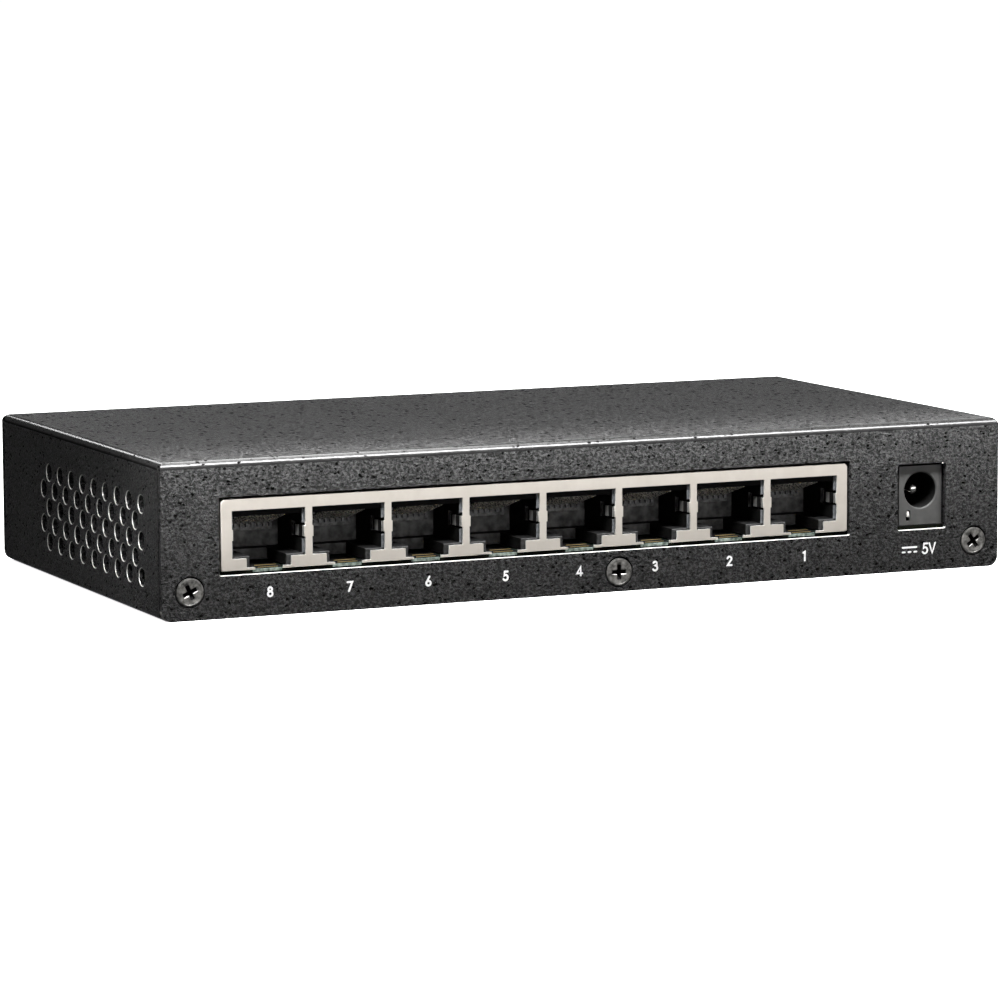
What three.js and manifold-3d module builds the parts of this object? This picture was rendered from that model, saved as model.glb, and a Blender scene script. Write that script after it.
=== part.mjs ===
// Desktop network switch with eight ports: a folded sheet-metal case round one circuit board.
// Millimetres, +Z up. The origin is the middle of the underside, and the ports face -Y.
import * as THREE from "three";
import { mergeVertices } from "three/addons/utils/BufferGeometryUtils.js";
import Module from "manifold-3d";

const wasm = await Module();
wasm.setup();

// ---- Driving dimensions ----

const GAP = 0.3; // air between pieces that touch in the real object
const PAST = 1; // how far a cutting solid runs past the face it cuts

const CASE = {
  width: 154.4,
  depth: 83,
  height: 26,
  sheet: 1,
  bend: 1.3, // outer radius of the folds
  bendSteps: 4,
  flangeCorner: 1.8, // rounded lower corners of the port and LED flanges
  sideLift: 0.75, // the side flanges stop this far above the underside
};
const LEFT = -CASE.width / 2;
const FRONT = -CASE.depth / 2;
const BACK = CASE.depth / 2;

const VENTS = { rows: 5, columns: 9, radius: 1.5, sides: 10, pitch: 5.93, drop: 3, first: 9.45, top: 18.3 };

const SCREW = { head: 2.4, seat: 2.62, neck: 1.45, length: 6, sink: 0.95, sides: 20 };
const RECESS = { half: 0.3, reach: 1.25, flatHead: 0.8, panHead: 1.2 }; // the cross in the screw heads
const SCREW_HOLE = 1.75;
const CASE_SCREWS = [
  { name: "case_screw_left", x: LEFT + 4.9, z: 4.65, turn: 25 },
  { name: "case_screw_centre", x: LEFT + 81.5, z: 3.3, turn: 0 },
  { name: "case_screw_right", x: LEFT + 149.6, z: 4.65, turn: 35 },
];

const BOARD = {
  left: LEFT + 8.2,
  right: LEFT + 146.2,
  front: FRONT + 1.3,
  back: BACK - 3,
  bottom: 6.15,
  top: 7.75,
};
const BOARD_SCREWS = [
  [LEFT + 129.5, FRONT + 8.5],
  [LEFT + 12.6, 0],
  [LEFT + 13.5, BACK - 8.5],
  [LEFT + 141, BACK - 8.5],
];
const PAN_HEAD = { radius: 2.8, height: 1.9, shank: 5.2, edge: 0.7, slope: 0.8 };
const PILLAR = { radius: 3.2, bore: 1.75, floor: 1.4 };
const ON_BOARD = BOARD.top + GAP;

const PORTS = { count: 8, pitch: 13.97, first: LEFT + 18.7 };
const PORT_MOUTH = { half: 6.37, shoulder: 9.62, top: 17.45, notch: 3.87, foot: 2.4, footTop: 8.1 };
const NUB = { half: 6.18, low: 12.6, high: 14.4 }; // where the grounding fingers fold inwards
const SHIELD = {
  left: LEFT + 10.35,
  right: LEFT + 124.9,
  front: FRONT + 0.3,
  back: FRONT + 16.2,
  bottom: 7.5,
  top: 19.45,
  sheet: 0.3,
};
const SHIELD_WINDOW = { left: LEFT + 10.02, right: LEFT + 125.25, low: 7.1, high: 19.82 };
const CAVITY = {
  half: 6,
  shoulder: 9.9,
  ceiling: 17.2,
  back: FRONT + 12,
  latch: 3.16,
  latchBack: FRONT + 9.5,
};
const FINGER_POCKET = { half: 6.75, low: 12.2, high: 14.8, back: FRONT + 5.6 };
const WIRE_RELIEF = { half: 4.4, front: FRONT + 1.9, back: FRONT + 11.7, top: 17.9 };

const WIRES = {
  count: 8,
  pitch: 1.016,
  width: 0.5,
  thick: 0.35,
  path: [[FRONT + 2.4, 16.5], [FRONT + 10.2, 14.1], [FRONT + 10.8, 14.05]], // fold, tip, flat end
};
const WIRE_BAR = { half: 4, depth: 0.7, height: 0.6 };
const FINGER = {
  low: 12.62,
  high: 14.38,
  thick: 0.25,
  path: [[6.15, 0.9], [5.75, 3.2], [6.1, 4.8]], // distance from the port's middle, and behind the port face
};

const DC = {
  x: LEFT + 139.7,
  z: 13.9,
  halfWidth: 4.2,
  front: FRONT + 1.3,
  back: FRONT + 15.7,
  top: 18.2,
  bore: 3.15,
  boreDepth: 9.5,
  pin: 1,
  pinHole: 1.3,
  pinNose: 0.5,
  pinFront: FRONT + 3.5,
  pinBack: FRONT + 15.4,
};
const DC_WINDOW = { left: LEFT + 134.45, right: LEFT + 144, low: 7.3, high: 18.65 };
const DC_LEAF = {
  x: LEFT + 137.35,
  width: 0.6,
  thick: 0.3,
  path: [[12, 10.4], [6.5, 12.5], [3.4, 10.6], [2.2, 9.6]], // distance behind the port face, height
  channel: { half: 0.65, front: FRONT + 1.9, back: FRONT + 12.6, low: 8.5, high: 12.9 },
  slit: { half: 0.33, low: 9.15, high: 10.5 },
};

const LAMPS = { ports: 8, pitch: 9, first: -40.5, power: 43, z: 13.2, lens: 1.2, hole: 1.5, sides: 12 };
const PIPE = {
  front: BACK - 6.4,
  back: BACK - 3.6,
  low: 10.2,
  high: 15,
  margin: 4,
  leg: 2.4,
  lensOverlap: 1,
};

const LIP = { height: 5.6, side: 4.3, tab: 8, tabWidth: 6.5 };
const TONGUE = { x: 45, half: 4, low: 2.2, high: 3.2, back: BACK - 0.1 };
const LENS_BACK = BACK - 0.1;
const FLANGE_BITE = 0.05; // how far the cuts in the side flanges run into the case's inside
const FOOT_MARK = { x: 65, y: 30, radius: 6, depth: 0.3 };

const CHIP = { x: 2, y: 8, halfX: 12, halfY: 12, height: 1.5, chamfer: 0.3 };
const FLASH_CHIP = { x: 30, y: 20, halfX: 2.6, halfY: 2, height: 1.7, chamfer: 0.2 };
const REGULATOR = { x: LEFT + 126, y: 0, halfX: 3.3, halfY: 3, height: 2.3, chamfer: 0.3 };
const CRYSTAL = { x: 28, y: 4, halfX: 5.6, halfY: 2.3, height: 3.6, radius: 2.2, steps: 4 };
const INDUCTOR = { x: LEFT + 138, y: -6, halfX: 6, halfY: 6, height: 7, radius: 2, steps: 3 };
const CAPACITORS = { x: LEFT + 138, y: [8, 20], radius: 4, height: 11.5, sides: 16 };
const PAD = { half: 10, height: 0.5 };
const SINK = { half: 14, base: 2, fins: 7, fin: 1.2, finHeight: 6 };
const MAGNETICS = { y: FRONT + 28.5, halfX: 12, halfY: 7, height: 5.5, chamfer: 0.8 };

// ---- Shape helpers ----

// A closed three.js geometry as a solid that can be joined and cut.
function solid(geometry) {
  const bare = geometry.clone();
  bare.deleteAttribute("normal");
  bare.deleteAttribute("uv");
  const merged = mergeVertices(bare, 1e-4);
  return new wasm.Manifold(
    new wasm.Mesh({
      numProp: 3,
      vertProperties: merged.attributes.position.array,
      triVerts: new Uint32Array(merged.index.array),
    }),
  );
}

function geometryOf(shape) {
  const mesh = shape.getMesh();
  const geometry = new THREE.BufferGeometry();
  geometry.setAttribute("position", new THREE.BufferAttribute(new Float32Array(mesh.vertProperties), 3));
  geometry.setIndex(new THREE.BufferAttribute(new Uint32Array(mesh.triVerts), 1));
  geometry.computeVertexNormals();
  return geometry;
}

function join(shapes) {
  return shapes.reduce((sum, shape) => sum.add(shape));
}

function cut(shape, cutters) {
  return cutters.reduce((rest, cutter) => rest.subtract(cutter), shape);
}

// A block between two limits on each axis, given in either order.
function block([xa, xb], [ya, yb], [za, zb]) {
  const geometry = new THREE.BoxGeometry(Math.abs(xb - xa), Math.abs(yb - ya), Math.abs(zb - za));
  geometry.translate((xa + xb) / 2, (ya + yb) / 2, (za + zb) / 2);
  return solid(geometry);
}

function outline(points) {
  return new THREE.Shape(points.map(([u, v]) => new THREE.Vector2(u, v)));
}

// Outlines in the plane across one axis, extruded along that axis between two limits.
// The outline's two coordinates are (y, z) along x, (x, z) along y and (x, y) along z.
function prism(shapes, axis, from, to, curveSegments = CASE.bendSteps) {
  const options = { depth: to - from, bevelEnabled: false, curveSegments };
  const geometry = new THREE.ExtrudeGeometry(shapes, options);
  if (axis === "x") {
    geometry.rotateX(Math.PI / 2).rotateZ(Math.PI / 2).translate(from, 0, 0);
  } else if (axis === "y") {
    geometry.rotateX(Math.PI / 2).translate(0, to, 0);
  } else {
    geometry.translate(0, 0, from);
  }
  return solid(geometry);
}

function disc(u, v, radius, sides) {
  const points = [];
  for (let i = 0; i < sides; i += 1) {
    const angle = (2 * Math.PI * (i + 0.5)) / sides;
    points.push([u + radius * Math.cos(angle), v + radius * Math.sin(angle)]);
  }
  return outline(points);
}

// A strip of even thickness along a path, as an outline.
function strip(path, thick) {
  const points = path.map(([u, v]) => new THREE.Vector2(u, v));
  const directions = points.slice(1).map((p, i) => p.clone().sub(points[i]).normalize());
  const offsets = points.map((_, i) => {
    const before = directions[Math.max(i - 1, 0)];
    const after = directions[Math.min(i, directions.length - 1)];
    const along = before.clone().add(after).normalize();
    return new THREE.Vector2(-along.y, along.x).multiplyScalar(thick / 2 / along.dot(after));
  });
  const one = points.map((p, i) => p.clone().add(offsets[i]));
  const other = points.map((p, i) => p.clone().sub(offsets[i]));
  return new THREE.Shape([...one, ...other.reverse()]);
}

// A screw standing on its tip at z = -length, with the top of its head at z = 0.
function screw(profile, recess, turn) {
  const points = profile.map(([r, z]) => new THREE.Vector2(r, z));
  const body = solid(new THREE.LatheGeometry(points, SCREW.sides).rotateX(Math.PI / 2));
  const long = [-RECESS.reach, RECESS.reach];
  const short = [-RECESS.half, RECESS.half];
  const cross = join([block(long, short, [-recess, PAST]), block(short, long, [-recess, PAST])]);
  return body.subtract(cross.rotate([0, 0, turn]));
}

// ---- Materials ----

function finish(color, roughness, metalness, extra = {}) {
  return new THREE.MeshStandardMaterial({ color, roughness, metalness, flatShading: true, ...extra });
}

const MATERIALS = {
  coated_steel: finish(0x3a3a3c, 0.55, 0.2),
  plated_steel: finish(0xa9aaa6, 0.4, 0.9),
  nickel: finish(0xd9d4ca, 0.35, 0.9),
  screw_steel: finish(0x86867f, 0.35, 0.9),
  black_plastic: finish(0x141416, 0.5, 0),
  jack_plastic: finish(0x3c3c3e, 0.6, 0),
  gold: finish(0xd8b25a, 0.3, 1),
  board: finish(0x1f5a35, 0.6, 0),
  chip_plastic: finish(0x1b1b1d, 0.6, 0),
  aluminium: finish(0xb4b6b8, 0.4, 0.9),
  thermal_pad: finish(0x8aa0b8, 0.8, 0),
  ferrite: finish(0x2c2c2e, 0.7, 0),
  can: finish(0xc8cacc, 0.35, 0.9),
  clear_plastic: finish(0xe6eef0, 0.15, 0, { transparent: true, opacity: 0.6 }),
};

const networkSwitch = new THREE.Group();

function place(name, shape, material, position = [0, 0, 0]) {
  const mesh = new THREE.Mesh(geometryOf(shape), MATERIALS[material]);
  mesh.name = name;
  mesh.position.set(...position);
  networkSwitch.add(mesh);
  return mesh;
}

// ---- Case ----

// One way round the case, as an outline: a flat bottom edge, upright sides and rounded top corners.
function panOutline(width, height, radius, low) {
  const half = width / 2;
  const shape = new THREE.Shape();
  shape.moveTo(-half, low);
  shape.lineTo(half, low);
  shape.lineTo(half, height - radius);
  shape.absarc(half - radius, height - radius, radius, 0, Math.PI / 2, false);
  shape.lineTo(radius - half, height);
  shape.absarc(radius - half, height - radius, radius, Math.PI / 2, Math.PI, false);
  return shape;
}

// The space inside the folds, moved in from the outer surface.
function panSolid(inset, low) {
  const width = CASE.width - 2 * inset;
  const depth = CASE.depth - 2 * inset;
  const height = CASE.height - inset;
  const radius = CASE.bend - inset;
  const lengthways = prism(panOutline(depth, height, radius, low), "x", -width / 2, width / 2);
  const across = prism(panOutline(width, height, radius, low), "y", -depth / 2, depth / 2);
  return lengthways.intersect(across);
}

// What is cut away round one lower corner of the port or LED flange.
function flangeCorner(side) {
  const radius = CASE.flangeCorner;
  const edge = CASE.width / 2;
  const points = [[edge + PAST, -PAST], [edge + PAST, radius]];
  const steps = CASE.bendSteps;
  for (let i = 0; i <= steps; i += 1) {
    const angle = (-Math.PI / 2) * (i / steps);
    points.push([edge - radius + radius * Math.cos(angle), radius + radius * Math.sin(angle)]);
  }
  points.push([edge - radius, -PAST]);
  return outline(points.map(([x, z]) => [side * x, z]));
}

function ventOutlines() {
  const holes = [];
  for (let row = 0; row < VENTS.rows; row += 1) {
    const offset = VENTS.first + (row % 2 ? VENTS.pitch / 2 : 0);
    for (let column = 0; column < VENTS.columns; column += 1) {
      const y = FRONT + offset + column * VENTS.pitch;
      holes.push(disc(y, VENTS.top - row * VENTS.drop, VENTS.radius, VENTS.sides));
    }
  }
  return holes;
}

function lampPositions() {
  const row = Array.from({ length: LAMPS.ports }, (_, i) => LAMPS.first + i * LAMPS.pitch);
  return [...row, LAMPS.power];
}

function makeCover() {
  const inner = CASE.width / 2 - CASE.sheet;
  const seam = CASE.depth / 2 - CASE.sheet - GAP;
  const cutters = [];
  for (const side of [-1, 1]) {
    const through = [side * (inner - FLANGE_BITE), side * (CASE.width / 2 + PAST)];
    cutters.push(block(through, [-seam, seam], [-PAST, CASE.sideLift]));
    const vents = [side * (inner - PAST), side * (CASE.width / 2 + PAST)].sort((a, b) => a - b);
    cutters.push(prism(ventOutlines(), "x", ...vents));
    for (const end of [-1, 1]) {
      const slot = [end * seam, end * (seam + GAP)];
      cutters.push(block(through, slot, [-PAST, CASE.height - CASE.bend]));
      const flange = [end * (seam + GAP / 2), end * (BACK + PAST)].sort((a, b) => a - b);
      cutters.push(prism(flangeCorner(side), "y", ...flange));
    }
  }
  const portFace = [FRONT - PAST, FRONT + CASE.sheet + PAST];
  for (const window of [SHIELD_WINDOW, DC_WINDOW]) {
    cutters.push(block([window.left, window.right], portFace, [window.low, window.high]));
  }
  for (const { x, z } of CASE_SCREWS) {
    const seat = new THREE.CylinderGeometry(SCREW_HOLE, SCREW.seat, SCREW.sink, SCREW.sides);
    seat.translate(0, SCREW.sink / 2, 0);
    cutters.push(solid(seat.translate(x, FRONT, z)));
    cutters.push(prism(disc(x, z, SCREW_HOLE, SCREW.sides), "y", ...portFace));
  }
  const ledFace = [BACK - CASE.sheet - PAST, BACK + PAST];
  const lamps = lampPositions().map((x) => disc(x, LAMPS.z, LAMPS.hole, LAMPS.sides));
  cutters.push(prism(lamps, "y", ...ledFace));
  for (const side of [-1, 1]) {
    const centre = side * TONGUE.x;
    const reach = TONGUE.half + GAP;
    cutters.push(block([centre - reach, centre + reach], ledFace, [TONGUE.low - GAP, TONGUE.high + GAP]));
  }
  return cut(panSolid(0, 0).subtract(panSolid(CASE.sheet, -PAST)), cutters);
}

function makeBasePlate() {
  const half = CASE.width / 2 - CASE.sheet - GAP;
  const end = CASE.depth / 2 - CASE.sheet - GAP;
  const sheet = CASE.sheet;
  const shapes = [
    block([-half, half], [-end, end], [0, sheet]),
    block([-half, half], [-end, sheet - end], [0, LIP.height]),
    block([-half, half], [end - sheet, end], [0, LIP.height]),
  ];
  for (const side of [-1, 1]) {
    shapes.push(block([side * half, side * (half - sheet)], [-end, end], [0, LIP.side]));
    shapes.push(block([side * half, side * (half - LIP.tabWidth)], [-end, sheet - end], [0, LIP.tab]));
    const centre = side * TONGUE.x;
    const across = [centre - TONGUE.half, centre + TONGUE.half];
    shapes.push(block(across, [end - sheet, TONGUE.back], [TONGUE.low, TONGUE.high]));
  }
  for (const [x, y] of BOARD_SCREWS) {
    shapes.push(prism(disc(x, y, PILLAR.radius, SCREW.sides), "z", 0, BOARD.bottom - GAP));
  }
  const cutters = BOARD_SCREWS.map(([x, y]) =>
    prism(disc(x, y, PILLAR.bore, SCREW.sides), "z", PILLAR.floor, BOARD.bottom + PAST),
  );
  for (const { x, z } of CASE_SCREWS) {
    cutters.push(prism(disc(x, z, SCREW_HOLE, SCREW.sides), "y", -end - PAST, sheet - end + PAST));
  }
  for (const [x, y] of [[-1, -1], [1, -1], [-1, 1], [1, 1]]) {
    const mark = disc(x * FOOT_MARK.x, y * FOOT_MARK.y, FOOT_MARK.radius, SCREW.sides);
    cutters.push(prism(mark, "z", -PAST, FOOT_MARK.depth));
  }
  return cut(join(shapes), cutters);
}

place("top_cover", makeCover(), "coated_steel");
place("base_plate", makeBasePlate(), "plated_steel");

const flatHead = [
  [0, -SCREW.length],
  [SCREW.neck, -SCREW.length],
  [SCREW.neck, SCREW.neck - SCREW.head],
  [SCREW.head, 0],
  [0, 0],
];
for (const { name, x, z, turn } of CASE_SCREWS) {
  const mesh = place(name, screw(flatHead, RECESS.flatHead, turn), "screw_steel", [x, FRONT, z]);
  mesh.rotation.x = Math.PI / 2;
}

// ---- Circuit board and what stands on it ----

function makeBoard() {
  const board = block([BOARD.left, BOARD.right], [BOARD.front, BOARD.back], [BOARD.bottom, BOARD.top]);
  const holes = BOARD_SCREWS.map(([x, y]) => disc(x, y, SCREW_HOLE, SCREW.sides));
  return board.subtract(prism(holes, "z", BOARD.bottom - PAST, BOARD.top + PAST));
}

place("circuit_board", makeBoard(), "board");

const panHead = [
  [0, -PAN_HEAD.shank - PAN_HEAD.height],
  [SCREW.neck, -PAN_HEAD.shank - PAN_HEAD.height],
  [SCREW.neck, -PAN_HEAD.height],
  [PAN_HEAD.radius, -PAN_HEAD.height],
  [PAN_HEAD.radius, -PAN_HEAD.edge],
  [PAN_HEAD.radius - PAN_HEAD.slope, 0],
  [0, 0],
];
BOARD_SCREWS.forEach(([x, y], i) => {
  const top = ON_BOARD + PAN_HEAD.height;
  place(`board_screw_${i + 1}`, screw(panHead, RECESS.panHead, 45), "screw_steel", [x, y, top]);
});

// A block with its upper edges chamfered all round, standing on the board.
function chamferedBlock({ halfX, halfY, height, chamfer }) {
  const sides = (half) => {
    const right = [[half, 0], [half, height - chamfer], [half - chamfer, height]];
    const left = right.map(([u, v]) => [-u, v]).reverse();
    return outline([...right, ...left]);
  };
  return prism(sides(halfY), "x", -halfX, halfX).intersect(prism(sides(halfX), "y", -halfY, halfY));
}

for (let i = 0; i < PORTS.count / 2; i += 1) {
  const x = PORTS.first + (2 * i + 0.5) * PORTS.pitch;
  place(`magnetics_${i + 1}`, chamferedBlock(MAGNETICS), "chip_plastic", [x, MAGNETICS.y, ON_BOARD]);
}

function makeHeatSink() {
  const { half, base, fins, fin, finHeight } = SINK;
  const shapes = [block([-half, half], [-half, half], [0, base])];
  const step = (2 * half - fin) / (fins - 1);
  for (let i = 0; i < fins; i += 1) {
    const x = -half + i * step;
    shapes.push(block([x, x + fin], [-half, half], [0, base + finHeight]));
  }
  return join(shapes);
}

const padBottom = ON_BOARD + CHIP.height + GAP;
const sinkBottom = padBottom + PAD.height + GAP;
const pad = block([-PAD.half, PAD.half], [-PAD.half, PAD.half], [0, PAD.height]);
place("switch_chip", chamferedBlock(CHIP), "chip_plastic", [CHIP.x, CHIP.y, ON_BOARD]);
place("thermal_pad", pad, "thermal_pad", [CHIP.x, CHIP.y, padBottom]);
place("heat_sink", makeHeatSink(), "aluminium", [CHIP.x, CHIP.y, sinkBottom]);
place("flash_chip", chamferedBlock(FLASH_CHIP), "chip_plastic", [FLASH_CHIP.x, FLASH_CHIP.y, ON_BOARD]);
place("regulator", chamferedBlock(REGULATOR), "chip_plastic", [REGULATOR.x, REGULATOR.y, ON_BOARD]);

function roundedBlock({ halfX, halfY, height, radius, steps }) {
  const shape = new THREE.Shape();
  shape.moveTo(-halfX + radius, -halfY);
  shape.absarc(halfX - radius, radius - halfY, radius, -Math.PI / 2, 0, false);
  shape.absarc(halfX - radius, halfY - radius, radius, 0, Math.PI / 2, false);
  shape.absarc(radius - halfX, halfY - radius, radius, Math.PI / 2, Math.PI, false);
  shape.absarc(radius - halfX, radius - halfY, radius, Math.PI, 1.5 * Math.PI, false);
  return prism(shape, "z", 0, height, steps);
}

place("crystal", roundedBlock(CRYSTAL), "can", [CRYSTAL.x, CRYSTAL.y, ON_BOARD]);
place("inductor", roundedBlock(INDUCTOR), "ferrite", [INDUCTOR.x, INDUCTOR.y, ON_BOARD]);
CAPACITORS.y.forEach((y, i) => {
  const shape = prism(disc(0, 0, CAPACITORS.radius, CAPACITORS.sides), "z", 0, CAPACITORS.height);
  place(`capacitor_${i + 1}`, shape, "can", [CAPACITORS.x, y, ON_BOARD]);
});

// ---- Ganged jack ----

function portCentres() {
  return Array.from({ length: PORTS.count }, (_, i) => PORTS.first + i * PORTS.pitch);
}

// The mouth of one port in the shield, with its latch notch open at the bottom.
function mouthOutline(centre) {
  const { half, shoulder, top, notch, foot, footTop } = PORT_MOUTH;
  const rightSide = [
    [foot, SHIELD.bottom - PAST],
    [foot, footTop],
    [notch, footTop],
    [notch, shoulder],
    [half, shoulder],
    [half, NUB.low],
    [NUB.half, NUB.low],
    [NUB.half, NUB.high],
    [half, NUB.high],
    [half, top],
  ];
  const leftSide = rightSide.map(([x, z]) => [-x, z]).reverse();
  return outline([...rightSide, ...leftSide].map(([x, z]) => [centre + x, z]));
}

function makeShield() {
  const { left, right, front, back, bottom, top, sheet } = SHIELD;
  const low = bottom - PAST;
  const inside = block([left + sheet, right - sheet], [front + sheet, back - sheet], [low, top - sheet]);
  const overBoard = block([left - PAST, right + PAST], [front + sheet, back + PAST], [low, ON_BOARD]);
  const mouths = prism(portCentres().map(mouthOutline), "y", front - PAST, front + 2 * sheet);
  return cut(block([left, right], [front, back], [bottom, top]), [inside, overBoard, mouths]);
}

function makeJackHousing() {
  const gap = SHIELD.sheet + GAP;
  const front = SHIELD.front + gap;
  const across = [SHIELD.left + gap, SHIELD.right - gap];
  const body = block(across, [front, SHIELD.back - gap], [ON_BOARD, SHIELD.top - gap]);
  const mouth = front - PAST;
  const within = CAVITY.shoulder + PAST; // a height inside the main cavity, where other cuts run into it
  const { half: pocket, low, high } = FINGER_POCKET;
  const relief = WIRE_RELIEF;
  const cutters = [];
  for (const x of portCentres()) {
    const wide = (half) => [x - half, x + half];
    cutters.push(block(wide(CAVITY.half), [mouth, CAVITY.back], [CAVITY.shoulder, CAVITY.ceiling]));
    cutters.push(block(wide(CAVITY.latch), [mouth, CAVITY.latchBack], [ON_BOARD - PAST, within]));
    cutters.push(block(wide(pocket), [mouth, FINGER_POCKET.back], [low, high]));
    cutters.push(block(wide(relief.half), [relief.front, relief.back], [within, relief.top]));
  }
  return cut(body, cutters);
}

// Eight sprung wires that slope down into the port from one bar at their fold.
function makeContacts() {
  const { count, pitch, width, thick, path } = WIRES;
  const wire = strip(path, thick);
  const [foldY, foldZ] = path[0];
  const barY = [foldY - WIRE_BAR.depth / 2, foldY + WIRE_BAR.depth / 2];
  const barZ = [foldZ - WIRE_BAR.height / 2, foldZ + WIRE_BAR.height / 2];
  const shapes = [block([-WIRE_BAR.half, WIRE_BAR.half], barY, barZ)];
  for (let i = 0; i < count; i += 1) {
    const x = (i - (count - 1) / 2) * pitch;
    shapes.push(prism(wire, "x", x - width / 2, x + width / 2));
  }
  return join(shapes);
}

// A folded strip that slopes in to a crest and back out, standing just behind the shield's face.
function makeFinger(side) {
  const path = FINGER.path.map(([x, y]) => [side * x, FRONT + y]);
  return prism(strip(path, FINGER.thick), "z", FINGER.low, FINGER.high);
}

place("jack_shield", makeShield(), "nickel");
place("jack_housing", makeJackHousing(), "jack_plastic");
portCentres().forEach((x, i) => {
  const port = PORTS.count - i; // the ports count down from left to right
  place(`contacts_${port}`, makeContacts(), "gold", [x, 0, 0]);
  place(`ground_finger_${port}_left`, makeFinger(-1), "nickel", [x, 0, 0]);
  place(`ground_finger_${port}_right`, makeFinger(1), "nickel", [x, 0, 0]);
});

// ---- Power inlet ----

function makeInlet() {
  const { x, z, halfWidth, front, back, top, bore, boreDepth, pinHole } = DC;
  const { channel, slit } = DC_LEAF;
  const body = block([x - halfWidth, x + halfWidth], [front, back], [ON_BOARD, top]);
  const leafAcross = (half) => [DC_LEAF.x - half, DC_LEAF.x + half];
  return cut(body, [
    prism(disc(x, z, bore, 2 * SCREW.sides), "y", front - PAST, front + boreDepth),
    prism(disc(x, z, pinHole, SCREW.sides), "y", front, back + PAST),
    block(leafAcross(channel.half), [channel.front, channel.back], [channel.low, channel.high]),
    block(leafAcross(slit.half), [front - PAST, channel.front + PAST], [slit.low, slit.high]),
  ]);
}

function makePin() {
  const { x, z, pin, pinNose, pinFront, pinBack } = DC;
  const length = pinBack - pinFront;
  const profile = [[0, 0], [pin - pinNose, 0], [pin, pinNose], [pin, length], [0, length]];
  const shape = new THREE.LatheGeometry(profile.map(([r, y]) => new THREE.Vector2(r, y)), SCREW.sides);
  return solid(shape.translate(x, pinFront, z));
}

function makeLeaf() {
  const { x, width, thick } = DC_LEAF;
  const path = DC_LEAF.path.map(([y, z]) => [FRONT + y, z]);
  return prism(strip(path, thick), "x", x - width / 2, x + width / 2);
}

place("dc_jack_housing", makeInlet(), "black_plastic");
place("dc_jack_pin", makePin(), "nickel");
place("dc_jack_spring", makeLeaf(), "nickel");

// ---- Indicator lights ----

function makeLightPipe() {
  const lamps = lampPositions();
  const ends = [Math.min(...lamps) - PIPE.margin, Math.max(...lamps) + PIPE.margin];
  const bar = block(ends, [PIPE.front, PIPE.back], [PIPE.low, PIPE.high]);
  const lens = (x) => disc(x, LAMPS.z, LAMPS.lens, LAMPS.sides);
  const lenses = lamps.map((x) => prism(lens(x), "y", PIPE.front + PIPE.lensOverlap, LENS_BACK));
  const legs = ends.map((x) => {
    const inner = x + Math.sign(-x) * PIPE.leg;
    return block([x, inner], [PIPE.front, PIPE.back], [ON_BOARD, PIPE.high]);
  });
  return join([bar, ...lenses, ...legs]);
}

place("light_pipe", makeLightPipe(), "clear_plastic");

export default networkSwitch;
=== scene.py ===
import math

import bmesh
import bpy
from mathutils import Matrix, Vector


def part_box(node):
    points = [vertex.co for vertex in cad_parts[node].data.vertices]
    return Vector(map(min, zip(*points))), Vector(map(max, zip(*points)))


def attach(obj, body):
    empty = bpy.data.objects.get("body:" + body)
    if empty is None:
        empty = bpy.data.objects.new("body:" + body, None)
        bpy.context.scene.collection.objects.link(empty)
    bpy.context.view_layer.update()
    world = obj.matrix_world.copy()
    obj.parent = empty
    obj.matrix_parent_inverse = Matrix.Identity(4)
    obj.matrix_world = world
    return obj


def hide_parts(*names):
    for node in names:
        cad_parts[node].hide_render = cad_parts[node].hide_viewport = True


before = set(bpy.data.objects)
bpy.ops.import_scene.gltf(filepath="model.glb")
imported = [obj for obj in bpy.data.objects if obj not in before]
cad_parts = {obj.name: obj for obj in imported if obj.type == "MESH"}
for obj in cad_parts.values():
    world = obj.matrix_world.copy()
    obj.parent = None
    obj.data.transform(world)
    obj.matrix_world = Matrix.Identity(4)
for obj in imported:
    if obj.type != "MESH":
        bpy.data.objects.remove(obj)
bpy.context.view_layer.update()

scene = bpy.context.scene
MM = 0.001  # shapes below are in millimetres, and the scene is in metres


# ---- Places taken from the frame, in millimetres ----

def box_mm(node):
    low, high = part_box(node)
    return low / MM, high / MM


def middle(node):
    low, high = box_mm(node)
    return (low + high) / 2


CASE_LOW, CASE_HIGH = box_mm("top_cover")
LEFT, FRONT = CASE_LOW.x, CASE_LOW.y
RIGHT, BACK, TOP = CASE_HIGH
SHIELD_LOW, SHIELD_HIGH = box_mm("jack_shield")
HOUSING_LOW, HOUSING_HIGH = box_mm("jack_housing")
INLET_LOW, INLET_HIGH = box_mm("dc_jack_housing")
BOARD_TOP = box_mm("circuit_board")[1].z
PORT_NUMBERS = range(8, 0, -1)  # from left to right
PORT_X = {number: middle(f"contacts_{number}").x for number in PORT_NUMBERS}
SCREWS = {name: middle(name) for name in ("case_screw_left", "case_screw_centre", "case_screw_right")}
SCREW_TURNS = {"case_screw_left": 25, "case_screw_centre": 0, "case_screw_right": 35}  # degrees

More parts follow.
